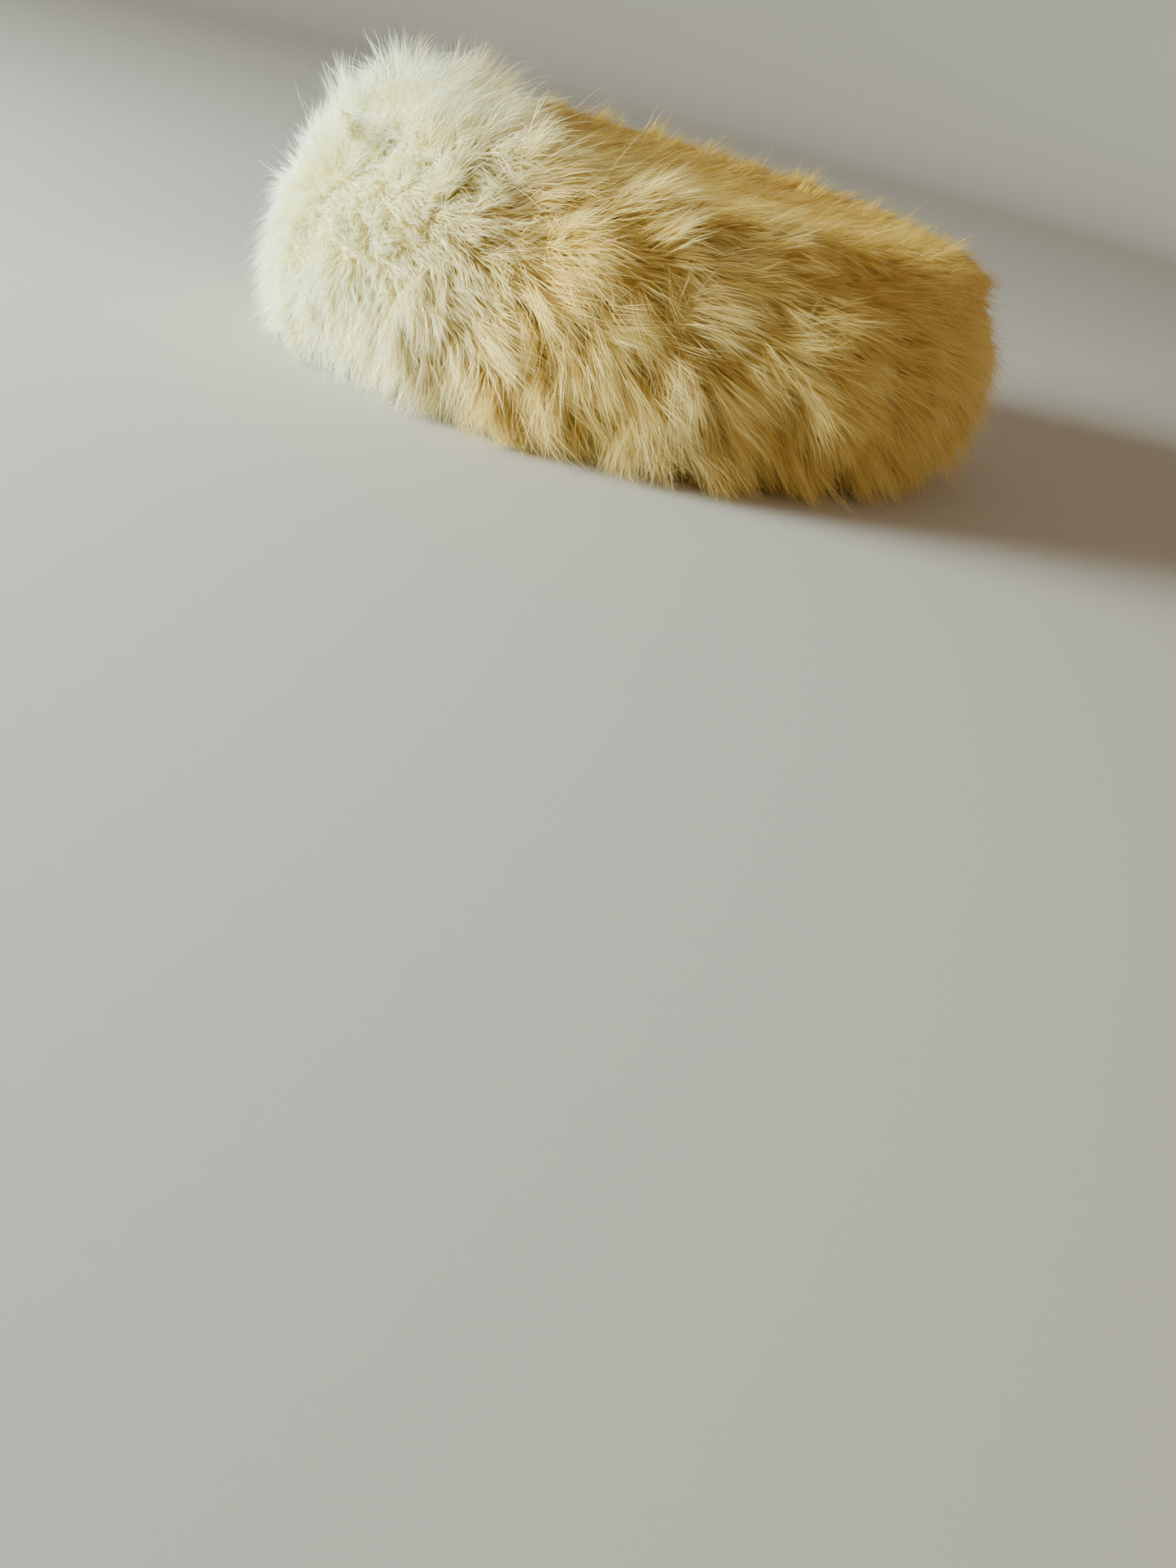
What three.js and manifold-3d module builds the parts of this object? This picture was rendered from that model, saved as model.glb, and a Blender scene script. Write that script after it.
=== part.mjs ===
import * as THREE from 'three';
import { mergeVertices } from 'three/addons/utils/BufferGeometryUtils.js';
import Module from 'manifold-3d';

// A round fur toque, in millimetres. It stands on its lowest locks at z = 0, its front faces -Y
// and the wearer's left is +X. The origin is under the middle of its box.

const wasm = await Module();
wasm.setup();

// The whole hat with its fur
const frontHeight = 84;
const backHeight = 72;

// Pelt skin
const rimLength = 192;
const rimWidth = 160;
const rimForward = 8;
const seamRounding = 2;
const seamForward = 3;
const eggShare = 0.03;
const skinThickness = 2.2;
const hemHeight = 14;
const hemThickness = 1.6;
const crownRise = 6;
const crownSink = 3;

// Fur
const rimLift = 9;
const ringLift = 4;
const frontDepth = 14.5;
const sideDepth = 15.5;
const backDepth = 23;
const furTop = 16;
const ridgeDrop = 1.5;
const middleSink = 5;
const seamLean = 0.3;

// Locks
const rootDepth = 2.5;
const lockThickness = 8;
const lockBend = 2;
const smallestShare = 0.85;
const spreadShare = 0.3;
const staggerShare = 0.5;
const lockSeed = 7;
const crownSweep = 0.9;
const sweepGain = 2;

// Fits
const skinClearance = 0.35;
const furClearance = 0.4;
const trim = 0.2;

// Fineness
const sideCount = 40;
const stepCount = 9;
const nudge = 0.01;

// The outer line of the side fur, from the rim up: shares of its depth and of its height.
const furLine = new THREE.SplineCurve([
  { out: 0.12, up: 0.045 },
  { out: 0.46, up: 0.05 },
  { out: 0.8, up: 0.15 },
  { out: 0.97, up: 0.32 },
  { out: 1, up: 0.52 },
  { out: 0.92, up: 0.7 },
  { out: 0.68, up: 0.85 },
  { out: 0.36, up: 0.95 },
].map((row) => new THREE.Vector2(row.out, row.up)));

// The skin lid of the crown, from its seam to its middle: shares of its radius, rise and sink.
const lidRows = [
  { share: 0.93, rise: 0.55, sink: 0 },
  { share: 0.82, rise: 0.95, sink: 0.1 },
  { share: 0.6, rise: 1, sink: 0.5 },
  { share: 0.3, rise: 1, sink: 0.85 },
];
const lidSeat = { share: 1, rise: 0, sink: 0 };
const lidMiddleHeight = skinClearance + crownRise - crownSink;

// The fur of the crown, from its edge to its middle: shares of its radius and of its sink.
const crownRows = [
  { share: 0.9, sink: -0.25 },
  { share: 0.76, sink: 0.05 },
  { share: 0.58, sink: 0.45 },
  { share: 0.36, sink: 0.8 },
];

// One lock from its root to its tip: shares of its length, width and thickness. The keel is its
// underside, which reaches into the bed.
const lockRows = [
  { along: 0, wide: 0.7, keel: 1 },
  { along: 0.36, wide: 1, keel: 1.3 },
  { along: 0.74, wide: 0.56, keel: 1.1 },
];

// Rows of locks on the side fur. along is the place on the fur line, lift how far a lock stands
// off, front and back how far it points up, or down below 0, and sweep how far it points backwards.
const sideLocks = [
  { count: 26, along: 0.17, length: 15, width: 17, lift: 0.1, front: -2.4, back: -2.4, sweep: 0.6 },
  { count: 22, along: 0.36, length: 26, width: 22, lift: 0.18, front: -0.9, back: -1.2, sweep: 0.9 },
  { count: 22, along: 0.52, length: 32, width: 24, lift: 0.18, front: -0.2, back: -0.9, sweep: 1 },
  { count: 20, along: 0.69, length: 31, width: 23, lift: 0.18, front: 0.4, back: -0.6, sweep: 1 },
  { count: 20, along: 0.93, length: 24, width: 21, lift: 0.18, front: 1.5, back: -0.1, sweep: 1 },
];

// Rings of locks on the crown fur. share is the place from its middle to its edge.
const crownLocks = [
  { count: 14, share: 0.76, length: 32, width: 26, lift: 0.14 },
  { count: 9, share: 0.46, length: 36, width: 28, lift: 0.12 },
  { count: 3, share: 0.14, length: 36, width: 28, lift: 0.1 },
];

const { lerp, clamp, seededRandom } = THREE.MathUtils;
const up = new THREE.Vector3(0, 0, 1);
const rimLine = { length: rimLength, width: rimWidth, forward: rimForward };
const seamLine = {
  length: rimLength - seamRounding,
  width: rimWidth + seamRounding,
  forward: seamForward,
};

// A place on an egg-shaped oval, moved out by a distance square to it. Its angle is -90 degrees
// at the front and 0 at the wearer's left.
function ovalPoint(line, angle, out, z) {
  const halfWidth = line.width / 2;
  const halfLength = line.length / 2;
  const across = Math.cos(angle);
  const back = Math.sin(angle);
  const normal = new THREE.Vector2(across / halfWidth, back / halfLength).normalize();
  const x = halfWidth * across * (1 + eggShare * back) + normal.x * out;
  const y = halfLength * back - line.forward + normal.y * out;
  return new THREE.Vector3(x, y, z);
}

function furHeight(angle) {
  return lerp(frontHeight, backHeight, (1 + Math.sin(angle)) / 2);
}

function seamHeight(angle) {
  return furHeight(angle) - furTop;
}

function wallHeight(angle) {
  return seamHeight(angle) - rimLift;
}

function furDepth(angle) {
  const back = Math.sin(angle);
  const end = back < 0 ? frontDepth : backDepth;
  return lerp(sideDepth, end, back * back);
}

// A place at a height and a distance out from the outer face of the skin wall.
function wallPoint(angle, z, out) {
  const share = clamp((z - rimLift) / wallHeight(angle), 0, 1);
  const low = ovalPoint(rimLine, angle, skinThickness + out, z);
  const high = ovalPoint(seamLine, angle, skinThickness + out, z);
  return low.lerp(high, share);
}

// A place on the leaning face where the crown's fur and the side's fur part.
function partingPoint(angle, z, grow) {
  return wallPoint(angle, z, (z - seamHeight(angle)) * seamLean + grow);
}

function furPoint(angle, along) {
  const place = furLine.getPoint(along);
  return wallPoint(angle, place.y * furHeight(angle), place.x * furDepth(angle));
}

// The way out of a surface given by a function of two numbers.
function outwards(place, a, b) {
  const here = place(a, b);
  const first = place(a + nudge, b).sub(here);
  const second = place(a, b - nudge).sub(here);
  return second.cross(first).normalize();
}

function meshFrom(points, triangles) {
  const geometry = new THREE.BufferGeometry();
  const positions = points.flatMap((point) => point.toArray());
  geometry.setAttribute('position', new THREE.Float32BufferAttribute(positions, 3));
  geometry.setIndex(triangles);
  return geometry;
}

// A ring: a closed section carried round. section(angle) gives its points, outer face first from
// the bottom up.
function ringGeometry(section) {
  const points = [];
  const triangles = [];
  let size = 0;
  for (let side = 0; side < sideCount; side += 1) {
    const row = section((side / sideCount) * Math.PI * 2);
    size = row.length;
    points.push(...row);
  }
  for (let side = 0; side < sideCount; side += 1) {
    const here = side * size;
    const next = ((side + 1) % sideCount) * size;
    for (let step = 0; step < size; step += 1) {
      const after = (step + 1) % size;
      triangles.push(here + step, next + step, next + after);
      triangles.push(here + step, next + after, here + after);
    }
  }
  return meshFrom(points, triangles);
}

// A plate: rings from its lower middle out and back to its upper middle, closed by two middle
// points. section(angle) gives the ring points, lowerMiddle and upperMiddle the ends.
function plateGeometry(section, lowerMiddle, upperMiddle) {
  const points = [lowerMiddle, upperMiddle];
  const triangles = [];
  let size = 0;
  for (let side = 0; side < sideCount; side += 1) {
    const row = section((side / sideCount) * Math.PI * 2);
    size = row.length;
    points.push(...row);
  }
  for (let side = 0; side < sideCount; side += 1) {
    const here = 2 + side * size;
    const next = 2 + ((side + 1) % sideCount) * size;
    triangles.push(0, next, here);
    triangles.push(1, here + size - 1, next + size - 1);
    for (let step = 0; step < size - 1; step += 1) {
      triangles.push(here + step, next + step, next + step + 1);
      triangles.push(here + step, next + step + 1, here + step + 1);
    }
  }
  return meshFrom(points, triangles);
}

function solidFrom(geometry) {
  geometry.deleteAttribute('normal');
  geometry.deleteAttribute('uv');
  const merged = mergeVertices(geometry);
  const vertProperties = new Float32Array(merged.attributes.position.array);
  const triVerts = new Uint32Array(merged.index.array);
  return new wasm.Manifold(new wasm.Mesh({ numProp: 3, vertProperties, triVerts }));
}

function geometryFrom(solid) {
  const mesh = solid.getMesh();
  const geometry = new THREE.BufferGeometry();
  geometry.setAttribute('position', new THREE.BufferAttribute(new Float32Array(mesh.vertProperties), 3));
  geometry.setIndex(new THREE.BufferAttribute(new Uint32Array(mesh.triVerts), 1));
  return geometry;
}

// One lock: a flat leaf with a ridge along it, which starts inside the fur bed, bends from one way
// to another and runs out to a point.
function lockSolid(root, out, startWay, endWay, length, width) {
  const middle = root.clone().addScaledVector(startWay, length / 2);
  const tip = middle.clone().addScaledVector(endWay, length / 2);
  const path = new THREE.QuadraticBezierCurve3(root, middle, tip);
  const points = [];
  const triangles = [];
  for (const row of lockRows) {
    const centre = path.getPoint(row.along);
    const way = path.getTangent(row.along);
    const side = new THREE.Vector3().crossVectors(way, out).normalize();
    const lift = new THREE.Vector3().crossVectors(side, way);
    const halfWidth = (width / 2) * row.wide;
    const halfThickness = (lockThickness / 2) * row.wide;
    points.push(centre.clone().addScaledVector(side, halfWidth));
    points.push(centre.clone().addScaledVector(lift, halfThickness));
    points.push(centre.clone().addScaledVector(side, -halfWidth));
    points.push(centre.clone().addScaledVector(lift, -halfThickness * row.keel));
  }
  const corners = 4;
  const last = points.length - corners;
  points.push(tip);
  for (let start = 0; start < last; start += corners) {
    for (let corner = 0; corner < corners; corner += 1) {
      const here = start + corner;
      const beside = start + ((corner + 1) % corners);
      triangles.push(here, beside + corners, beside);
      triangles.push(here, here + corners, beside + corners);
    }
  }
  for (let corner = 0; corner < corners; corner += 1) {
    triangles.push(last + ((corner + 1) % corners), last + corner, points.length - 1);
  }
  triangles.push(0, 1, 2, 0, 2, 3);
  return solidFrom(meshFrom(points, triangles));
}

function sideLockSolid(row, angle, along, size) {
  const surface = furPoint(angle, along);
  const out = outwards(furPoint, angle, along);
  const round = new THREE.Vector3(-Math.sin(angle), Math.cos(angle), 0);
  const backwards = round.multiplyScalar(clamp(Math.cos(angle) * sweepGain, -1, 1) * row.sweep);
  const rise = lerp(row.front, row.back, (1 + Math.sin(angle)) / 2);
  const flow = backwards.addScaledVector(up, rise);
  flow.addScaledVector(out, -flow.dot(out)).normalize();
  const startWay = flow.clone().addScaledVector(out, row.lift * lockBend).normalize();
  const endWay = flow.clone().addScaledVector(out, row.lift / lockBend).normalize();
  const root = surface.addScaledVector(out, -rootDepth);
  return lockSolid(root, out, startWay, endWay, row.length * size, row.width * size);
}

function crownPoint(angle, share) {
  const middle = crownMiddle();
  const edge = partingPoint(angle, furHeight(angle) - ridgeDrop, 0);
  return middle.lerp(edge, share);
}

function crownMiddle() {
  const front = partingPoint(-Math.PI / 2, furHeight(-Math.PI / 2) - ridgeDrop, 0);
  const back = partingPoint(Math.PI / 2, furHeight(Math.PI / 2) - ridgeDrop, 0);
  return front.lerp(back, 0.5);
}

function crownSurface(angle, share) {
  const place = crownPoint(angle, share);
  const rows = [{ share: 1, sink: 0 }, ...crownRows, { share: 0, sink: 1 }];
  const outer = rows.findLastIndex((row) => row.share >= share);
  const inner = Math.min(outer + 1, rows.length - 1);
  const span = rows[outer].share - rows[inner].share || 1;
  const sink = lerp(rows[outer].sink, rows[inner].sink, (rows[outer].share - share) / span);
  return place.addScaledVector(up, -sink * middleSink);
}

function crownLockSolid(row, angle, size) {
  const root = crownSurface(angle, row.share);
  const away = new THREE.Vector3(Math.cos(angle), Math.sin(angle) + crownSweep, 0).normalize();
  const startWay = away.clone().addScaledVector(up, row.lift * lockBend).normalize();
  const endWay = away.clone().addScaledVector(up, row.lift / lockBend).normalize();
  root.addScaledVector(up, -lockThickness / 2);
  return lockSolid(root, up, startWay, endWay, row.length * size, row.width * size);
}

function lockField(rows, make) {
  const locks = [];
  seededRandom(lockSeed);
  rows.forEach((row, level) => {
    for (let place = 0; place < row.count; place += 1) {
      const stagger = (level % 2) / 2 + (seededRandom() - 0.5) * staggerShare;
      const angle = ((place + stagger) / row.count) * Math.PI * 2;
      const size = smallestShare + seededRandom() * spreadShare;
      locks.push(make(row, angle, size));
    }
  });
  return wasm.Manifold.union(locks);
}

// The space above the skin lid that belongs to the crown's fur.
function crownSpace(grow) {
  const above = skinThickness + furClearance + trim;
  const reach = furTop * 3;
  const section = (angle) => {
    const low = seamHeight(angle) + skinClearance + above;
    return [
      ...lidRows.toReversed().map((row) => lidPoint(angle, row, above)),
      lidPoint(angle, lidSeat, above),
      partingPoint(angle, low, grow),
      partingPoint(angle, low + reach, grow),
    ];
  };
  const upper = crownMiddle().addScaledVector(up, reach);
  return solidFrom(plateGeometry(section, lidMiddle(lidMiddleHeight + above), upper));
}

// The space inside the wall, which the side's fur leaves free, from under the rim to the seam.
function headSpace(grow) {
  const section = (angle) => [
    wallPoint(angle, -rimLift, grow),
    wallPoint(angle, rimLift, grow),
    wallPoint(angle, seamHeight(angle), grow),
  ];
  const lower = new THREE.Vector3(0, 0, -rimLift);
  return solidFrom(plateGeometry(section, lower, lidMiddle(0)));
}

// Side band of the skin: a wall with its lower edge turned in
function sideBandGeometry() {
  return ringGeometry((angle) => {
    const top = seamHeight(angle);
    const hemTop = rimLift + hemHeight;
    const inner = -skinThickness;
    const hem = -skinThickness - hemThickness;
    return [
      wallPoint(angle, rimLift, 0),
      wallPoint(angle, (hemTop + top) / 2, 0),
      wallPoint(angle, top, 0),
      wallPoint(angle, top, inner),
      wallPoint(angle, (hemTop + top) / 2, inner),
      wallPoint(angle, hemTop, inner),
      wallPoint(angle, hemTop - hemThickness, hem),
      wallPoint(angle, rimLift + hemThickness, hem),
      wallPoint(angle, rimLift, hem + hemThickness),
    ];
  });
}

function lidHeight(row) {
  return row.rise * crownRise - row.sink * crownSink;
}

function lidPoint(angle, row, above) {
  const middle = lidMiddle(0);
  const edge = wallPoint(angle, seamHeight(angle), -skinThickness);
  return middle.lerp(edge, row.share).addScaledVector(up, skinClearance + lidHeight(row) + above);
}

function lidMiddle(above) {
  const front = wallPoint(-Math.PI / 2, seamHeight(-Math.PI / 2), -skinThickness);
  const back = wallPoint(Math.PI / 2, seamHeight(Math.PI / 2), -skinThickness);
  return front.lerp(back, 0.5).addScaledVector(up, above);
}

// Crown tip of the skin: a shallow sunken lid whose edge lies on the wall
function crownTipGeometry() {
  const section = (angle) => {
    const lowEdge = wallPoint(angle, seamHeight(angle), 0).addScaledVector(up, skinClearance);
    return [
      ...lidRows.toReversed().map((row) => lidPoint(angle, row, 0)),
      lidPoint(angle, lidSeat, 0),
      lowEdge,
      lowEdge.clone().addScaledVector(up, skinThickness),
      lidPoint(angle, lidSeat, skinThickness),
      ...lidRows.map((row) => lidPoint(angle, row, skinThickness)),
    ];
  };
  return plateGeometry(section, lidMiddle(lidMiddleHeight), lidMiddle(lidMiddleHeight + skinThickness));
}

// Fur of the crown: a bed on the lid with locks that lie back over it
function crownFurGeometry() {
  const above = skinThickness + furClearance;
  const section = (angle) => {
    const edgeHeight = seamHeight(angle) + skinClearance + above;
    return [
      ...lidRows.toReversed().map((row) => lidPoint(angle, row, above)),
      lidPoint(angle, lidSeat, above),
      partingPoint(angle, edgeHeight, 0),
      partingPoint(angle, furHeight(angle) - ridgeDrop, 0),
      ...crownRows.map((row) => crownSurface(angle, row.share)),
    ];
  };
  const upperMiddle = crownMiddle().addScaledVector(up, -middleSink);
  const bed = solidFrom(plateGeometry(section, lidMiddle(lidMiddleHeight + above), upperMiddle));
  const locks = lockField(crownLocks, (row, angle, size) => crownLockSolid(row, angle, size));
  return geometryFrom(bed.add(locks.intersect(crownSpace(-trim))));
}

// Fur of the side band: a thick bed round the wall with rows of locks, cut flat where it stands
function bandFurGeometry() {
  const section = (angle) => {
    const points = [];
    for (let step = 0; step <= stepCount; step += 1) {
      points.push(furPoint(angle, step / stepCount));
    }
    const ridge = furHeight(angle) - ridgeDrop;
    points.push(partingPoint(angle, ridge, furClearance));
    points.push(wallPoint(angle, seamHeight(angle), furClearance));
    points.push(wallPoint(angle, rimLift, furClearance));
    points.push(wallPoint(angle, ringLift, furClearance));
    return points;
  };
  const bed = solidFrom(ringGeometry(section));
  const locks = lockField(sideLocks, (row, angle, size) => sideLockSolid(row, angle, row.along, size));
  const ground = rimLength * 2;
  const floor = solidFrom(new THREE.BoxGeometry(ground, ground, ground).translate(0, 0, -ground / 2));
  const clear = furClearance + trim;
  const trimmed = locks.subtract(crownSpace(clear)).subtract(headSpace(clear));
  return geometryFrom(bed.add(trimmed).subtract(floor));
}

const skinLook = new THREE.MeshStandardMaterial({ color: 0xc9b898, roughness: 0.8, metalness: 0 });
const furLook = new THREE.MeshStandardMaterial({ color: 0xe2d6ae, roughness: 0.75, metalness: 0 });

function part(name, geometry, material) {
  const mesh = new THREE.Mesh(geometry, material);
  mesh.name = name;
  return mesh;
}

const hat = new THREE.Group();
hat.add(part('side_band', sideBandGeometry(), skinLook));
hat.add(part('crown_tip', crownTipGeometry(), skinLook));
hat.add(part('band_fur', bandFurGeometry(), furLook));
hat.add(part('crown_fur', crownFurGeometry(), furLook));

const middle = new THREE.Box3().setFromObject(hat).getCenter(new THREE.Vector3());
hat.position.set(-middle.x, -middle.y, 0);

export default hat;
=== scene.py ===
# %% [markdown]
# # A cream fur toque
#
# The hat is a pelt: a thin skin wall with a deep pile of soft hair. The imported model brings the
# real sizes and the outer form, so this lesson only dresses it: a woolly underfur that follows the
# model's fur solids, more than two hundred thousand fine hairs that grow out of it, and suede on
# the inside.

# %% Load the frame
import math

import bmesh
import bpy
import numpy as np
from mathutils import Matrix, Vector
from mathutils.bvhtree import BVHTree


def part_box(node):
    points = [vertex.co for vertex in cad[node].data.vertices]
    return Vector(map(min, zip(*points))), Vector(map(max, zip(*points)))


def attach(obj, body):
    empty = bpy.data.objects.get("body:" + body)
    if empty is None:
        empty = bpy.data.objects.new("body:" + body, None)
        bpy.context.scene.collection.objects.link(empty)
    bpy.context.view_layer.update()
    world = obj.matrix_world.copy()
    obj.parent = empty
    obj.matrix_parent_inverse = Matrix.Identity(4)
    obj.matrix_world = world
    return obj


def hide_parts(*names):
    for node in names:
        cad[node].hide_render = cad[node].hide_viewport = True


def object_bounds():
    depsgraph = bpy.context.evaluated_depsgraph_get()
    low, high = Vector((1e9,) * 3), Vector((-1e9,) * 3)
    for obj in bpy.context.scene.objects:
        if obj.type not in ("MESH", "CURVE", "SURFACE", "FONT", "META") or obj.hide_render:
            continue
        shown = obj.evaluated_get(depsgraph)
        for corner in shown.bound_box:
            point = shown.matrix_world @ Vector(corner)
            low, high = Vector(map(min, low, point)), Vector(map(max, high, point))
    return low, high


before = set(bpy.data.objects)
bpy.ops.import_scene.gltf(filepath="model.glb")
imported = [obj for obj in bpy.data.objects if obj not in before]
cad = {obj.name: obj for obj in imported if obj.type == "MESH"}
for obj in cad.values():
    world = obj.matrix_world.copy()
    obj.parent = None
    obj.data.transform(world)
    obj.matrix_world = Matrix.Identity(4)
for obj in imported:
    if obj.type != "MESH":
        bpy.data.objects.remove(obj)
cad_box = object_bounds()
low, high = np.array(cad_box[0]), np.array(cad_box[1])
print("hat box in metres:", low.round(4), high.round(4))

# %% [markdown]
# ## Camera
#
# The picture is taken from the hat's left side, a little towards its front and just above the
# rim. A camera could simply look at the hat's middle, but then the hat would stand level in the
# middle of the picture. Here the camera is turned further, so that the hat lands on a chosen pixel
# with its rim leaning.

# %% Camera values
PICTURE = (1445, 1927)
FOCAL_PIXELS = 2200
HAT_PIXEL = (795, 338)
CAMERA_DISTANCE = 0.61
CAMERA_AZIMUTH = math.radians(14)
CAMERA_ELEVATION = math.radians(9.5)
RIM_LEAN = math.radians(14)
SENSOR = 36
NEAREST_SEEN = 0.01
TARGET_SHARE = 0.46

target = Vector((0, 0, high[2] * TARGET_SHARE))
to_camera = Vector((
    math.cos(CAMERA_AZIMUTH) * math.cos(CAMERA_ELEVATION),
    -math.sin(CAMERA_AZIMUTH) * math.cos(CAMERA_ELEVATION),
    math.sin(CAMERA_ELEVATION),
))
pixel_way = Vector((
    (HAT_PIXEL[0] - PICTURE[0] / 2) / FOCAL_PIXELS,
    (PICTURE[1] / 2 - HAT_PIXEL[1]) / FOCAL_PIXELS,
    -1,
))
print("camera stands in metres at:", (target + to_camera * CAMERA_DISTANCE).to_tuple(3))

# %% Camera
camera_data = bpy.data.cameras.new("camera")
camera_data.sensor_fit = "VERTICAL"
camera_data.sensor_height = SENSOR
camera_data.lens = FOCAL_PIXELS / PICTURE[1] * SENSOR
camera_data.clip_start = NEAREST_SEEN
camera = bpy.data.objects.new("camera", camera_data)
bpy.context.scene.collection.objects.link(camera)
facing = (-to_camera).to_track_quat("-Z", "Y").to_matrix()
leaning = facing @ Matrix.Rotation(RIM_LEAN, 3, "Z")
aim = pixel_way.rotation_difference(Vector((0, 0, -1))).to_matrix()
turned = (leaning @ aim).to_4x4()
camera.matrix_world = Matrix.Translation(target + to_camera * CAMERA_DISTANCE) @ turned
bpy.context.scene.camera = camera
print("lens in millimetres:", round(camera_data.lens, 1))

# %% [markdown]
# ## Writing nodes as arithmetic
#
# Node trees are easier to read as formulas. `Value` wraps one output socket, and Python's own
# operators add the Math or Vector Math nodes. `Tree.add` makes any other node.


# %% Value
def is_vector(thing):
    return getattr(thing, "vector", isinstance(thing, (tuple, Vector)))


class Value:
    """An output socket on which Python's operators add nodes."""

    def __init__(self, tree, socket):
        self.tree = tree
        self.socket = socket
        self.vector = socket.type in ("VECTOR", "RGBA")

    def join(self, operation, other, turned=False):
        first, second = (other, self) if turned else (self, other)
        kind = "ShaderNodeVectorMath" if self.vector or is_vector(other) else "ShaderNodeMath"
        return self.tree.add(kind, {"operation": operation}, {0: first, 1: second}).out()

    def alone(self, operation):
        kind = "ShaderNodeVectorMath" if self.vector else "ShaderNodeMath"
        return self.tree.add(kind, {"operation": operation}, {0: self}).out()

    def __add__(self, other):
        return self.join("ADD", other)

    def __radd__(self, other):
        return self.join("ADD", other, True)

    def __sub__(self, other):
        return self.join("SUBTRACT", other)

    def __rsub__(self, other):
        return self.join("SUBTRACT", other, True)

    def __mul__(self, other):
        if self.vector == is_vector(other):
            return self.join("MULTIPLY", other)
        vector, number = (self, other) if self.vector else (other, self)
        inputs = {0: vector, "Scale": number}
        return self.tree.add("ShaderNodeVectorMath", {"operation": "SCALE"}, inputs).out()

    def __rmul__(self, other):
        return self * other

    def __truediv__(self, other):
        return self.join("DIVIDE", other)

    def __rtruediv__(self, other):
        return self.join("DIVIDE", other, True)

    def __pow__(self, other):
        return self.join("POWER", other)

    def __rpow__(self, other):
        return self.join("POWER", other, True)

    def above(self, other):
        return self.join("GREATER_THAN", other)

    def below(self, other):
        return self.join("LESS_THAN", other)

    def at_least(self, other):
        return self.join("MAXIMUM", other)

    def at_most(self, other):
        return self.join("MINIMUM", other)

    def cross(self, other):
        return self.join("CROSS_PRODUCT", other)

    def unit(self):
        return self.alone("NORMALIZE")

    def absolute(self):
        return self.alone("ABSOLUTE")

    def sine(self):
        return self.alone("SINE")

    def cosine(self):
        return self.alone("COSINE")


# %% Tree
class Made:
    """A node that was added, with its outputs as Values."""

    def __init__(self, tree, node):
        self.tree = tree
        self.node = node

    def out(self, name=0):
        shown = [socket for socket in self.node.outputs if socket.enabled]
        if isinstance(name, int):
            return Value(self.tree, shown[name])
        return Value(self.tree, next(socket for socket in shown if socket.name == name))


class Tree:
    """A node tree with one way to add nodes."""

    def __init__(self, nodes):
        self.tree = nodes

    def add(self, kind, settings=(), inputs=()):
        node = self.tree.nodes.new(kind)
        for name, setting in dict(settings).items():
            setattr(node, name, setting)
        for name, given in dict(inputs).items():
            shown = [socket for socket in node.inputs if socket.enabled]
            socket = shown[name] if isinstance(name, int) else next(s for s in shown if s.name == name)
            if isinstance(given, Value):
                self.tree.links.new(given.socket, socket)
            else:
                socket.default_value = given
        return Made(self, node)


# %% [markdown]
# ## The underfur
#
# Under its long hairs a pelt has a dense, woolly underfur. It could be more hair, but nobody sees
# its single strands, so a closed surface does the job. It is made from the model's own fur solids,
# which keeps the hat's form: a voxel remesh joins them, and smoothing softens their locks.


# %% Copies of the model's solids
MERGE_DISTANCE = 1e-6


def merged_copy(name, *nodes):
    """One mesh object with the geometry of several model nodes, its doubles merged."""
    mesh = bpy.data.meshes.new(name)
    joined = bmesh.new()
    for node in nodes:
        part = cad[node].data.copy()
        part.transform(cad[node].matrix_world)
        joined.from_mesh(part)
        bpy.data.meshes.remove(part)
    bmesh.ops.remove_doubles(joined, verts=joined.verts, dist=MERGE_DISTANCE)
    joined.to_mesh(mesh)
    joined.free()
    mesh.materials.clear()
    piece = bpy.data.objects.new(name, mesh)
    bpy.context.scene.collection.objects.link(piece)
    return piece


def apply_modifiers(piece):
    """Replaces the piece's mesh by its evaluated one."""
    graph = bpy.context.evaluated_depsgraph_get()
    made = bpy.data.meshes.new_from_object(piece.evaluated_get(graph))
    piece.modifiers.clear()
    old = piece.data
    piece.data = made
    bpy.data.meshes.remove(old)
    made.name = piece.name


def triangle_count(mesh):
    return sum(len(face.vertices) - 2 for face in mesh.polygons)


# %% Remesh and soften
VOXEL = 0.0034
BED_SMOOTHING = 26
SMOOTHING_FACTOR = 0.6

bed = merged_copy("underfur_bed", "band_fur", "crown_fur")
remesh = bed.modifiers.new("remesh", "REMESH")
remesh.mode = "VOXEL"
remesh.voxel_size = VOXEL
smooth = bed.modifiers.new("smooth", "SMOOTH")
smooth.factor = SMOOTHING_FACTOR
smooth.iterations = BED_SMOOTHING
apply_modifiers(bed)
print("underfur bed:", triangle_count(bed.data), "triangles")

# %% [markdown]
# ## Room for the hair
#
# The model's fur solids reach as far as the hair does, so the underfur has to lie deeper. Only the
# faces that look outwards are drawn in, because the others lie on the skin. The front's top edge
# goes deeper still, as its hair stands up the most. Where the crown's fur is thin, the underfur
# could sink below the skin, so each point there is kept a little above it.


# %% Faces that carry hair
OUTER_RADIUS = 0.93
OUTWARD_TURN = 0.05
TOP_SLOPE = 0.35
TOP_HEIGHT = 0.7


def rows_of_three(values, field):
    """One vector of each vertex, such as its place or its normal."""
    numbers = np.empty(len(values) * 3)
    values.foreach_get(field, numbers)
    return numbers.reshape(-1, 3)


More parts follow.
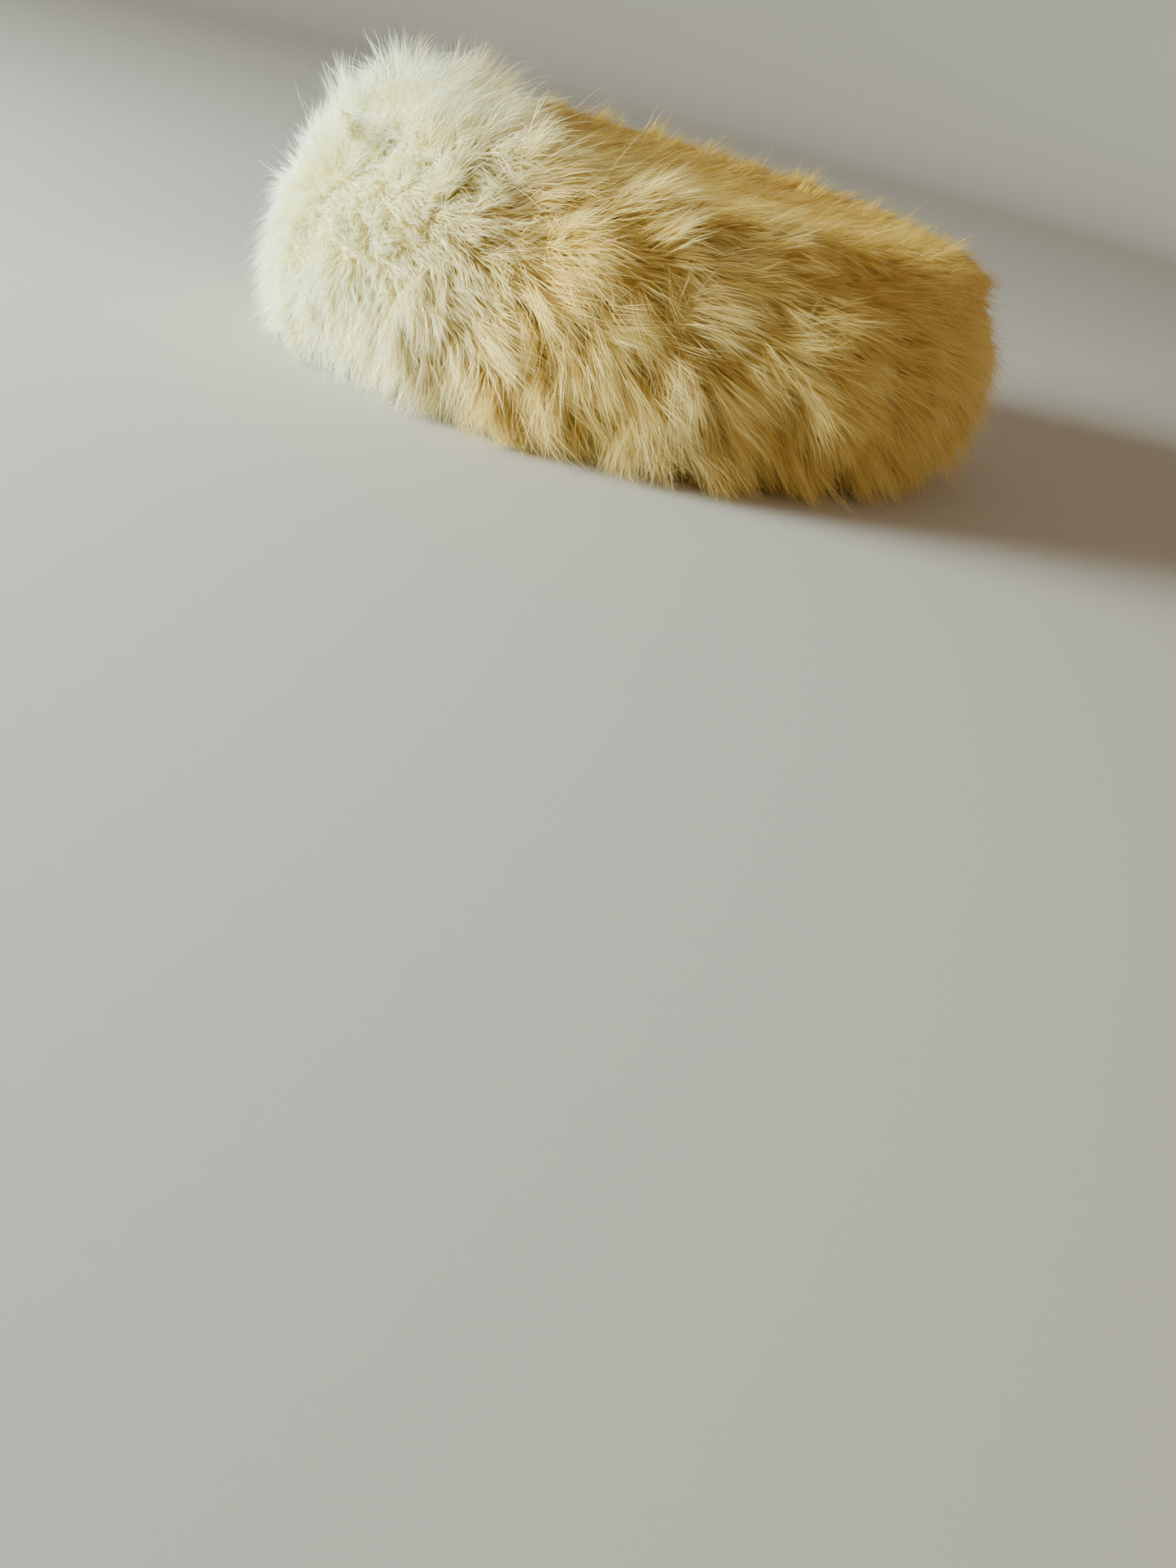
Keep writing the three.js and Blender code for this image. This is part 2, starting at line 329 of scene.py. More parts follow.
places = rows_of_three(bed.data.vertices, "co")
normals = rows_of_three(bed.data.vertex_normals, "vector")
band_low, band_high = (np.array(corner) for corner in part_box("side_band"))
skin_middle = (band_low + band_high) / 2
skin_half = (band_high - band_low) / 2
from_middle = (places[:, :2] - skin_middle[:2]) / skin_half[:2]
outer_radius = np.linalg.norm(from_middle, axis=1)
turned_out = np.sum(normals[:, :2] * from_middle, axis=1) / outer_radius
on_side = (turned_out > OUTWARD_TURN) & (outer_radius > OUTER_RADIUS)
on_top = (normals[:, 2] > TOP_SLOPE) & (places[:, 2] > high[2] * TOP_HEIGHT)
faces_out = on_side | on_top
print("points that look outwards:", int(faces_out.sum()), "of", len(places))

# %% Draw the bed in
BED_INSET = 0.0035
FRONT_REACH = 0.04
FRONT_DROP = 0.011
FRONT_DRAW = 0.009

front_place = np.clip((low[1] + FRONT_REACH - places[:, 1]) / FRONT_REACH, 0, 1)
top_place = np.clip(places[:, 2] / high[2] * 2 - 1, 0, 1)
front_edge = front_place * top_place * faces_out
places -= normals * (BED_INSET * faces_out)[:, None]
places[:, 2] -= FRONT_DROP * front_edge
places[:, 1] += FRONT_DRAW * front_edge
print("points of the front's top edge:", int((front_edge > 0).sum()))

# %% Keep the bed above the skin
SKIN_COVER = 0.002
UPWARD_SLOPE = 0.2

walls = merged_copy("walls", "side_band", "crown_tip")
wall_corners = [corner.co for corner in walls.data.vertices]
wall_faces = [face.vertices[:] for face in walls.data.polygons]
wall_search = BVHTree.FromPolygons(wall_corners, wall_faces)
raised = 0
for index in np.nonzero(faces_out & (normals[:, 2] > UPWARD_SLOPE))[0]:
    above = Vector((*places[index, :2], 1))
    hit = wall_search.ray_cast(above, Vector((0, 0, -1)))[0]
    if hit and places[index, 2] < hit.z + SKIN_COVER:
        places[index, 2] = hit.z + SKIN_COVER
        raised += 1
bpy.data.objects.remove(walls)
bed.data.vertices.foreach_set("co", places.ravel())
bed.data.update()
print("points lifted clear of the skin:", raised)

# %% [markdown]
# ## Which way the hair lies
#
# Hair on a pelt follows a flow. On this hat it runs from the front to the back, up over the front
# edge and down over the rim. Combing by hand would be one way. Here the comb is a formula: each
# point of the underfur has a place round the hat and a height, and short tables say how far the
# hair points up or down there. On the crown it runs backwards from a point near the front.


# %% Places round the hat
FUR_OVER_SEAM = 0.85
ALONG_LIMIT = 1.2

tip_low = np.array(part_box("crown_tip")[0])
seam_front = band_high[2]
seam_back = tip_low[2]
across = (places[:, 0] - skin_middle[0]) / skin_half[0]
along = (places[:, 1] - skin_middle[1]) / skin_half[1]
angle = np.arctan2(along, across)
radius = np.hypot(across, along)
turn = (1 + np.sin(angle)) / 2
length_share = along * 0.5 + 0.5
seam = seam_front + (seam_back - seam_front) * (1 + np.clip(along, -ALONG_LIMIT, ALONG_LIMIT)) / 2
rise = places[:, 2] / (seam + (high[2] - seam_front) * FUR_OVER_SEAM)
print("seam height in metres, front and back:", round(seam_front, 4), round(seam_back, 4))


# %% Short tables
def table(rows, place):
    """Values between the rows of a short table: the first column is the place."""
    columns = np.array(rows, dtype=float)
    return np.interp(place, columns[:, 0], columns[:, 1])


def blend(first, second, share):
    return first * (1 - share) + second * share


# %% Flow of the hair
CROWN_SLOPE = 0.55
CROWN_SOFTNESS = 0.3
CROWN_RISE = 0.75
CROWN_SWEEP = 0.9
SMALL = 1e-6

# share of the height, then the way up (above 0) or down, for the front and for the back
up_front = table([(0, -2.2), (0.25, -1), (0.5, -0.15), (0.75, 0.4), (1, 1.0)], rise)
up_back = table([(0, -1.9), (0.25, -1.3), (0.5, -0.9), (0.75, -0.6), (1, -0.1)], rise)
way_up = blend(up_front, up_back, turn)
sweep = np.clip(np.cos(angle) * 2, -1, 1) * table([(0, 0.5), (0.3, 0.9), (1, 1)], rise)
level = np.zeros(len(places))
round_way = np.stack([-np.sin(angle) * skin_half[0], np.cos(angle) * skin_half[1], level], 1)
round_way /= np.linalg.norm(round_way, axis=1, keepdims=True)
side_flow = round_way * sweep[:, None] + np.array([0, 0, 1]) * way_up[:, None]
crown_flow = np.stack([np.cos(angle) * radius, np.sin(angle) * radius + CROWN_SWEEP, level], 1)
on_crown = np.clip((normals[:, 2] - CROWN_SLOPE) / CROWN_SOFTNESS, 0, 1) * (rise > CROWN_RISE)
flow = blend(side_flow, crown_flow, on_crown[:, None])
flow -= normals * np.sum(flow * normals, axis=1, keepdims=True)
flow /= np.maximum(np.linalg.norm(flow, axis=1, keepdims=True), SMALL)
print("points on the crown:", int((on_crown > 0).sum()))

# %% [markdown]
# ## Length and stand-off
#
# The band's hair is longest at the side and lies flatter towards the back. The crown and the
# shoulder behind it are short and smooth. Two tufts stand up at the front of the top, and along
# the shoulder the hairs are ruffled, so that no hard line parts the crown from the band.

# %% Length and stand-off
CROWN_LENGTH = 0.0135
CROWN_LIFT = 0.24
FRONT_CROWN_LIFT = 0.4
TUFT_PLACES = (-0.75, -0.54)
TUFT_WIDTH = 0.09
TUFT_LENGTH = 0.75
TUFT_LIFT = 0.6
BROW_RISE = 0.95
BROW_WIDTH = 0.12
BROW_RADIUS = 0.8
BROW_LIFT = 0.25


def hump(place, middle, width):
    return np.exp(-(((place - middle) / width) ** 2))


# share of the way from the front to the back, then the hair's length in metres and its stand-off
side_length = table([(0, 0.0135), (0.2, 0.017), (0.45, 0.026), (0.7, 0.025), (1, 0.018)], turn)
side_lift = table([(0, 0.75), (0.2, 0.5), (0.5, 0.3), (0.8, 0.32), (1, 0.42)], turn)
# the other tables say where something fades in: the place, then how much of it there is
behind = table([(0.3, 0), (0.55, 1)], turn)
shoulder = table([(0.66, 0), (0.84, 1)], rise) * behind
smooth_crown = on_crown * table([(0.05, 0), (0.3, 1)], length_share)
smooth_part = np.maximum(smooth_crown, shoulder * (1 - on_crown))
tufts = sum(hump(along, place, TUFT_WIDTH) for place in TUFT_PLACES)
tufts *= table([(0.78, 0), (0.9, 1)], rise)
brow = hump(rise, BROW_RISE, BROW_WIDTH) * (radius > BROW_RADIUS) * behind
length = blend(side_length, CROWN_LENGTH, smooth_part) * table([(0, 0.95), (0.3, 1)], rise)
length *= 1 + TUFT_LENGTH * tufts
lift = blend(side_lift, CROWN_LIFT, smooth_part) + FRONT_CROWN_LIFT * (on_crown - smooth_crown)
lift += TUFT_LIFT * tufts + BROW_LIFT * brow
print("hair length in millimetres:", round(length.min() * 1000, 1), "to", round(length.max() * 1000, 1))

# %% [markdown]
# ## Locks, stray hairs and colour
#
# Real fur isn't even: hairs gather into locks, the locks swerve, and single hairs stray from them.
# All three are strongest in the long hair of the side. The colour is a share too, from 0 for cool
# white at the front through 1 for straw to 2 for the honey of the crown. It is partly the fur's own
# yellowed tone and partly painted light and shade: painted cool daylight on the front and painted
# warm shade on the back and the crown.

# %% Locks, stray hairs and colour
CROWN_GATHER = 0.08
CROWN_MESS = 0.14
CROWN_STRAY = 0.22
BROW_MESS = 0.3
LOWEST_ROOT = 0.002

# share of the way from the front to the back, then the strength
gather = table([(0, 0.12), (0.25, 0.2), (0.45, 0.34), (0.7, 0.3), (0.9, 0.1), (1, 0.08)], turn)
mess = table([(0, 0.45), (0.25, 0.5), (0.45, 0.62), (0.7, 0.45), (0.9, 0.18), (1, 0.15)], turn)
stray = table([(0, 0.36), (0.25, 0.34), (0.45, 0.3), (0.7, 0.26)], turn)
gather = blend(gather, CROWN_GATHER, smooth_part)
mess = blend(mess, CROWN_MESS, smooth_part) + BROW_MESS * brow
stray = blend(stray, CROWN_STRAY, smooth_part)
# share of the way back, on the side and on the crown, then the fur's own yellowed tone with painted warm
# shade
side_yellowing_and_painted_shade = table(
    [(0, 0), (0.1, 0.12), (0.22, 0.65), (0.32, 1.25), (0.5, 0.9), (0.65, 1.35), (0.85, 1)], turn
)
crown_yellowing_and_painted_shade = table([(0.06, 0), (0.18, 0.25), (0.3, 1), (0.45, 1.5), (0.7, 2)], length_share)
yellowing_and_painted_shade = blend(side_yellowing_and_painted_shade, crown_yellowing_and_painted_shade, on_crown)
growth = np.where(faces_out & (places[:, 2] > LOWEST_ROOT), 1.0, 0.0)
print("hair grows on", int(growth.sum()), "of", len(growth), "points")

# %% Store the comb on the bed
CROWN_MARK = 9.0
BACK_RIGHT = -0.75 * math.pi

combed = {
    "flow": flow, "hair_length": length, "lift": lift, "growth": growth,
    "gather": gather, "mess": mess, "stray": stray, "yellowing_and_painted_shade": yellowing_and_painted_shade,
    "turn": np.where(on_crown > 0.5, CROWN_MARK, np.where(angle < BACK_RIGHT, angle + math.tau, angle)),
}
for name, values in combed.items():
    kind, field = ("FLOAT_VECTOR", "vector") if values.ndim == 2 else ("FLOAT", "value")
    stored = bed.data.attributes.new(name, kind, "POINT")
    stored.data.foreach_set(field, values.astype(np.float32).ravel())
print("stored on the bed:", ", ".join(combed))

# %% [markdown]
# ## Growing the fur
#
# Blender has hair curves, but the model needs real faces, so each hair is a flat ribbon that runs
# out to a point. Geometry Nodes scatter the roots over the underfur, put a straight blank on each
# root, and bend all blanks in one go. That is one tree for every kind of hair, with its sizes as
# named inputs.

# %% Inputs of the fur tree
# short name, then the input's name, kind and first value
FUR_INPUTS = {
    "bed": ("Bed", "Geometry", None),
    "roots": ("Hairs per square metre", "Float", 1e6),
    "locks": ("Locks per square metre", "Float", 1.2e4),
    "segments": ("Segments", "Int", 3),
    "width": ("Width", "Float", 0.0003),
    "long": ("Length", "Float", 1.0),
    "gather": ("Gather", "Float", 1.0),
    "fine_gather": ("Fine gather", "Float", 0.4),
    "mess": ("Mess", "Float", 1.0),
    "stray": ("Stray", "Float", 1.0),
    "raise": ("Raise", "Float", 1.0),
    "from": ("From angle", "Float", -9.0),
    "to": ("To angle", "Float", 9.0),
    "seed": ("Seed", "Int", 0),
    "look": ("Look", "Material", None),
}
SEED_STEP = 17


class FurTree(Tree):
    """The fur's node tree, with short ways to read, keep and draw values."""

    def __init__(self):
        super().__init__(bpy.data.node_groups.new("fur", "GeometryNodeTree"))
        sides = self.tree.interface
        self.inputs = {}
        for short, (name, kind, value) in FUR_INPUTS.items():
            socket = sides.new_socket(name, in_out="INPUT", socket_type=f"NodeSocket{kind}")
            if value is not None:
                socket.default_value = value
            self.inputs[short] = socket.identifier
        sides.new_socket("Fur", in_out="OUTPUT", socket_type="NodeSocketGeometry")
        self.group = self.add("NodeGroupInput")

    def given(self, short):
        return self.group.out(FUR_INPUTS[short][0])

    def here(self):
        return self.add("GeometryNodeInputPosition").out()

    def read(self, name, kind="FLOAT"):
        found = self.add("GeometryNodeInputNamedAttribute", {"data_type": kind}, {"Name": name})
        return found.out("Attribute")

    def keep(self, geometry, name, value, kind="FLOAT_VECTOR"):
        settings = {"data_type": kind, "domain": "POINT"}
        inputs = {"Geometry": geometry, "Name": name, "Value": value}
        return self.add("GeometryNodeStoreNamedAttribute", settings, inputs).out()

    def chance(self, least, most, seed):
        """A number, or a vector, drawn for each hair or for each lock."""
        kind = "FLOAT_VECTOR" if isinstance(least, tuple) else "FLOAT"
        inputs = {"Min": least, "Max": most, "Seed": seed}
        return self.add("FunctionNodeRandomValue", {"data_type": kind}, inputs).out()

    def hair_chance(self, least, most, offset):
        return self.chance(least, most, self.given("seed") * SEED_STEP + offset)


print("inputs of the fur tree:", len(FUR_INPUTS))

# %% [markdown]
# ### Locks
#
# A lock has a middle, a way and a size that all its hairs share. Its middles are scattered thinly
# over the underfur, and each root asks for the nearest one. Small wisps inside the locks are made
# the same way, only closer together. Their seeds are the same for every kind of hair, so that the
# down and the guard hairs bend together.

# %% Locks
LOCK_SEED = 3
WISP_SEED = 30
WISPS_PER_LOCK = 7
LOCK_SIZES = (0.62, 1.15)
ALL_WAYS = ((-1, -1, -1), (1, 1, 1))


def lock_field(tree, many, seed):
    """For each root: the middle, the random way and the random size of its nearest lock."""
    inputs = {"Mesh": tree.given("bed"), "Density": many, "Seed": seed}
    middles = tree.add("GeometryNodeDistributePointsOnFaces", {}, inputs).out("Points")
    inputs = {"Geometry": middles, "Sample Position": tree.here()}
    nearest = tree.add("GeometryNodeSampleNearest", {"domain": "POINT"}, inputs).out("Index")

    def of_lock(value):
        settings = {"data_type": "FLOAT_VECTOR" if value.vector else "FLOAT", "domain": "POINT"}
        asked = {"Geometry": middles, "Value": value, "Index": nearest}
        return tree.add("GeometryNodeSampleIndex", settings, asked).out("Value")

    way = tree.chance(*ALL_WAYS, seed)
    size = tree.chance(*LOCK_SIZES, seed + 1)
    return of_lock(tree.here()), of_lock(way), of_lock(size)


# %% [markdown]
# ### The way of each hair
#
# A hair leaves the skin at one angle and lies down towards its tip, so it needs two ways, one for
# its start and one for its end. Both follow the flow, with the swerve of the lock and a stray of
# its own. It also leans towards the middle of its lock, and its ribbon is rolled by chance, so
# that the light finds some faces at every angle.

# %% The way of each hair
STRAY_SEED, SIZE_SEED, ROLL_SEED, WIDTH_SEED, TINT_SEED, LIFT_SEED = range(5, 11)
WISP_SWERVE = 0.8
LIFTS = (0.6, 1.4)
HAIR_SIZES = (0.7, 1.2)
WIDTHS = (0.7, 1.3)
ROLL = 1.3
START_LIFT = 2
END_LIFT = 0.5
SAG = 0.18
LONGEST_HAIR = 0.031


def hair_ways(tree, normal):
    """The vectors of each hair, worked out at its root."""
    here = tree.here()
    locks = tree.given("locks")
    lock_place, lock_way, lock_size = lock_field(tree, locks, LOCK_SEED)
    wisp_place, wisp_way, wisp_size = lock_field(tree, locks * WISPS_PER_LOCK, WISP_SEED)
    swerve = (lock_way + wisp_way * WISP_SWERVE) * (tree.given("mess") * tree.read("mess"))
    stray_way = tree.hair_chance(*ALL_WAYS, STRAY_SEED)
    swerve = swerve + stray_way * (tree.given("stray") * tree.read("stray"))
    way = (tree.read("flow", "FLOAT_VECTOR") + swerve).unit()
    lift_here = tree.read("lift") * tree.given("raise") * tree.hair_chance(*LIFTS, LIFT_SEED)
    size = tree.read("hair_length") * tree.given("long") * lock_size * wisp_size
    size = (size * tree.hair_chance(*HAIR_SIZES, SIZE_SEED)).at_most(LONGEST_HAIR)
    start = (way + normal * (lift_here * START_LIFT)).unit() * size
    end = (way + normal * (lift_here * END_LIFT) + (0, 0, -SAG)).unit() * size
    pull = (lock_place - here) * (tree.given("gather") * tree.read("gather"))
    pull = pull + (wisp_place - here) * tree.given("fine_gather")
    roll = tree.hair_chance(-ROLL, ROLL, ROLL_SEED)
    wide = tree.given("width") * tree.hair_chance(*WIDTHS, WIDTH_SEED)
    ribbon = (way.cross(normal).unit() * roll.cosine() + normal * roll.sine()) * wide
    return {"start": start, "end": end, "pull": pull, "ribbon": ribbon, "root": here}


# %% [markdown]
# ### Blanks, and how they bend
#
# The blank is a strip one unit long that narrows to a point. Its `share` runs from 0 at the root
# to 1 at the tip. The bend is a curve from the start way to the end way. Last, a hair that reaches
# past the model's box is shortened softly, and none goes below the floor.

# %% A straight blank
TIP_MERGE = 1e-4


def blank(tree):
    """A strip one unit long whose last two corners meet."""
    inputs = {"Size X": 1.0, "Size Y": 1.0, "Vertices X": 2, "Vertices Y": tree.given("segments") + 1}
    strip = tree.add("GeometryNodeMeshGrid", {}, inputs).out("Mesh")
    parts = tree.add("ShaderNodeSeparateXYZ", {}, {0: tree.here()})
    share = parts.out("Y") + 0.5
    narrow = {0: parts.out("X") * (1 - share * share), 1: parts.out("Y")}
    narrowed = tree.add("ShaderNodeCombineXYZ", {}, narrow).out()
    strip = tree.add("GeometryNodeSetPosition", {}, {"Geometry": strip, "Position": narrowed}).out()
    strip = tree.add("GeometryNodeMergeByDistance", {}, {"Geometry": strip, "Distance": TIP_MERGE}).out()
    strip = tree.keep(strip, "share", share, "FLOAT")
    return tree.keep(strip, "edge", parts.out("X"), "FLOAT")


# %% The bend
HAIR_REACH = (0.012, 0.02, 0.03)
FLOOR_CLEARANCE = 0.0004
FAR_BELOW = -1


def bend(tree):
    """The place of each corner of each hair."""
    share = tree.read("share")
    start, end, pull, ribbon, root = (
        tree.read(name, "FLOAT_VECTOR") for name in ("start", "end", "pull", "ribbon", "root")
    )
    bent = start * share + (end - start) * (share * share * 0.5)
    gathered = pull * (share * share * (3 - 2 * share))
    place = root + bent + gathered + ribbon * tree.read("edge")
    inner = place.at_most(tuple(high)).at_least(tuple(low))
    beyond = place - inner
    place = inner + beyond / (beyond.absolute() / HAIR_REACH + (1, 1, 1))
    return place.at_least((FAR_BELOW, FAR_BELOW, FLOOR_CLEARANCE))


# %% The whole tree
def fur_tree():
    """Scatters, bends and gathers ribbon hairs over a mesh that holds the comb."""
    tree = FurTree()
    place = tree.read("turn")
    inside = place.above(tree.given("from")) * place.below(tree.given("to"))
    many = tree.given("roots") * tree.read("growth") * inside
    inputs = {"Mesh": tree.given("bed"), "Density": many, "Seed": tree.given("seed")}
    scatter = tree.add("GeometryNodeDistributePointsOnFaces", {}, inputs)
    points = scatter.out("Points")
    ways = hair_ways(tree, scatter.out("Normal"))
    for name, value in ways.items():
        points = tree.keep(points, name, value)
    points = tree.keep(points, "tint", tree.hair_chance(0.0, 1.0, TINT_SEED), "FLOAT")
    inputs = {"Points": points, "Instance": blank(tree)}
    copies = tree.add("GeometryNodeInstanceOnPoints", {}, inputs).out()
    hairs = tree.add("GeometryNodeRealizeInstances", {}, {"Geometry": copies}).out()
    hairs = tree.add("GeometryNodeSetPosition", {}, {"Geometry": hairs, "Position": bend(tree)}).out()
    done_with = [*ways, "edge", *combed]
    done_with.remove("yellowing_and_painted_shade")
    for name in done_with:
        hairs = tree.add("GeometryNodeRemoveAttribute", {}, {"Geometry": hairs, "Name": name}).out()
    inputs = {"Geometry": hairs, "Material": tree.given("look")}
    hairs = tree.add("GeometryNodeSetMaterial", {}, inputs).out()
    tree.add("NodeGroupOutput", {}, {0: hairs})
    return tree


fur = fur_tree()
print("nodes in the fur tree:", len(fur.tree.nodes))

# %% [markdown]
# ## Colour of the fur
#
# At the front of the hat each hair is a cool white, painted daylight, and towards the back it turns
# straw, partly the fur's own yellowed tone and partly painted warm shade. Every hair is painted
# warmer and darker at its root, a painted shade for the depth of the pile where light has to pass
# through many others, and by chance some tips are ivory. A hair is also thin enough to glow with the
# light behind it, so part of its shader is translucent. Colour could be painted by hand, but a share
# stored with the comb follows the flow.


# %% Helpers for materials
def material(name):
    made = bpy.data.materials.new(name)
    made.use_nodes = True
    made.node_tree.nodes.clear()
    return made, Tree(made.node_tree)


def mix_colour(tree, share, first, second):
    inputs = {"Factor": share, "A": first, "B": second}
    return tree.add("ShaderNodeMix", {"data_type": "RGBA"}, inputs).out("Result")


def attribute(tree, name):
    return tree.add("ShaderNodeAttribute", {"attribute_name": name}).out("Fac")


def noise(tree, scale, detail):
    spot = tree.add("ShaderNodeTexCoord").out("Object")
    inputs = {"Vector": spot, "Scale": scale, "Detail": detail}
    return tree.add("ShaderNodeTexNoise", {}, inputs).out("Fac")


def soft_surface(tree, colour, height, roughness, strength, depth):
    """A rough surface with a bump, joined to the material's output."""
    relief = {"Strength": strength, "Distance": depth, "Height": height}
    bump = tree.add("ShaderNodeBump", {}, relief).out()
    inputs = {"Base Color": colour, "Roughness": roughness, "Normal": bump}
    surface = tree.add("ShaderNodeBsdfPrincipled", {}, inputs).out("BSDF")
    tree.add("ShaderNodeOutputMaterial", {}, {"Surface": surface})


# %% Hair
# cool white is painted daylight; straw and honey are partly the fur's own yellowed tone and partly
# painted warm shade, and at the roots pale honey and honey are painted shade in the pile's depth
IVORY = (0.93, 0.88, 0.5, 1)
HONEY = (0.75, 0.47, 0.08, 1)
PALE_HONEY = (0.94, 0.8, 0.36, 1)
STRAW = (0.84, 0.56, 0.13, 1)
COOL_WHITE = (0.87, 0.98, 0.96, 1)
GLOW = (0.92, 0.85, 0.44, 1)
IVORY_TIPS = 0.12
IVORY_IN_STRAW = 0.5
ROOT_TO_TIP = 0.95
HAIR_ROUGHNESS = 0.5
GLOW_SHARE = 0.28


def hair_material():
    made, tree = material("cream_hair")
    share = attribute(tree, "share")
    tint = attribute(tree, "tint")
    yellow_and_painted_shade = attribute(tree, "yellowing_and_painted_shade")
    # the tips run from cool white, painted daylight on the front, to straw, partly the fur's own yellowed
    # tone and partly painted warm shade
    tip = mix_colour(tree, yellow_and_painted_shade, COOL_WHITE, STRAW)
    tip = mix_colour(tree, tint * (yellow_and_painted_shade.at_most(1) * IVORY_IN_STRAW + IVORY_TIPS), tip, IVORY)
    # past 1 the tips turn honey: partly the fur's own yellowed tone and partly painted warm shade on the
    # crown
    tip = mix_colour(tree, yellow_and_painted_shade - 1, tip, HONEY)
    # the roots are warmer and darker: painted shade in the depth of the pile
    deep = mix_colour(tree, yellow_and_painted_shade, PALE_HONEY, HONEY)
    colour = mix_colour(tree, share ** ROOT_TO_TIP, deep, tip)
    shiny = tree.add("ShaderNodeBsdfPrincipled", {}, {"Base Color": colour, "Roughness": HAIR_ROUGHNESS})
    glow = tree.add("ShaderNodeBsdfTranslucent", {}, {"Color": GLOW})
    both = tree.add("ShaderNodeMixShader", {}, {0: GLOW_SHARE, 1: shiny.out("BSDF"), 2: glow.out("BSDF")})
    tree.add("ShaderNodeOutputMaterial", {}, {"Surface": both.out("Shader")})
    return made


hair_look = hair_material()
print("hair material:", len(hair_look.node_tree.nodes), "nodes")

# %% Underfur
# the golden wool is partly the fur's own yellowed tone and partly painted warm shade
PALE_WOOL = (0.93, 0.82, 0.5, 1)
GOLDEN_WOOL = (0.6, 0.38, 0.08, 1)
WOOL_SCALE = 900.0
WOOL_DETAIL = 6.0
WOOL_FLECKS = 0.6


def underfur_material():
    made, tree = material("underfur")
    wool = noise(tree, WOOL_SCALE, WOOL_DETAIL)
    # the underfur turns golden towards the back and on the crown: partly the fur's own yellowed tone and
    # partly painted warm shade
    deep = mix_colour(tree, attribute(tree, "yellowing_and_painted_shade"), PALE_WOOL, GOLDEN_WOOL)
    colour = mix_colour(tree, wool * WOOL_FLECKS, deep, IVORY)
    soft_surface(tree, colour, wool, roughness=0.9, strength=0.8, depth=0.001)
    return made


bed.data.materials.append(underfur_material())
print("underfur material on:", bed.name)

# %% [markdown]
# ## Hair by region
#
# A pelt's pile has short, dense down and longer guard hairs, and a few long wisps stray over both.
# Each region of the hat gets all three, each as a mesh of its own, so that no single mesh grows
# too heavy. The side that is looked at from nearby is the densest.


# %% Grow one mesh of hair
def grow(name, **settings):
    """Runs the fur nodes on the bed and keeps the result as a plain mesh object."""
    carrier = bpy.data.objects.new(name, bed.data)
    bpy.context.scene.collection.objects.link(carrier)
    growing = carrier.modifiers.new("fur", "NODES")
    growing.node_group = fur.tree
    settings["look"] = hair_look
    for short, value in settings.items():
        growing[fur.inputs[short]] = value
    graph = bpy.context.evaluated_depsgraph_get()
    made = bpy.data.meshes.new_from_object(carrier.evaluated_get(graph))
    carrier.modifiers.clear()
    carrier.data = made
    made.name = name
    made.polygons.foreach_set("use_smooth", [True] * len(made.polygons))
    print(name, triangle_count(made), "triangles")
    return carrier


# %% Kinds and regions
EIGHTH = math.pi / 4
MILLION = 1e6
KINDS = {
    "guard": {"segments": 3, "width": 0.00017, "long": 1.0, "gather": 1.0, "fine_gather": 0.35},
    "down": {"segments": 2, "width": 0.0003, "long": 0.62, "gather": 0.6, "fine_gather": 0.2},
    "wisps": {
        "segments": 4, "width": 0.00011, "long": 1.3, "gather": 0.5, "fine_gather": 0.0,
        "stray": 1.6, "raise": 1.6,
    },
}
# first and last eighth of the way round, then guard hairs, down and wisps in millions a square metre
REGIONS = {
    "front": (-3, -1, 1.8, 2.4, 0.12),
    "left_front": (-1, 0, 2.6, 3.5, 0.12),
    "left_back": (0, 1, 2.3, 3.5, 0.16),
    "back": (1, 3, 1.0, 1.4, 0.08),
    "right": (3, 5, 0.7, 0.8, 0.08),
    "crown": (CROWN_MARK / EIGHTH - 1, CROWN_MARK / EIGHTH + 1, 0.85, 1.0, 0.03),
}
hair_pieces = []
for seed, (region, (first, last, *millions)) in enumerate(REGIONS.items()):
    place = {"from": first * EIGHTH, "to": last * EIGHTH, "seed": seed}
    for (kind, sizes), many in zip(KINDS.items(), millions):
        hair_pieces.append(grow(f"{region}_{kind}", **sizes, **place, roots=many * MILLION))

# %% [markdown]
# ## Suede inside
#
# The inner side of a pelt is its skin, a soft buff leather with a fine nap. The model's own skins
# have the right form but flat facets, so copies of them are softened with a subdivision surface,
# and noise at two scales makes the nap and the paler patches.

# %% Suede
BUFF = (0.5, 0.4, 0.28, 1)
PALE_BUFF = (0.68, 0.58, 0.44, 1)
NAP_SCALE = 1400.0
NAP_DETAIL = 5.0
PATCH_SCALE = 40.0
PATCH_DETAIL = 3.0


def skin_material():
    made, tree = material("pelt_suede")
    nap = noise(tree, NAP_SCALE, NAP_DETAIL)
    colour = mix_colour(tree, noise(tree, PATCH_SCALE, PATCH_DETAIL), BUFF, PALE_BUFF)
    soft_surface(tree, colour, nap, roughness=0.85, strength=0.5, depth=0.0004)
    return made


skin_look = skin_material()
print("suede material:", len(skin_look.node_tree.nodes), "nodes")

# %% Skins
SKIN_LEVELS = 1
FACE_ANGLE = 0.5
FACE_SHAPE = 1.2


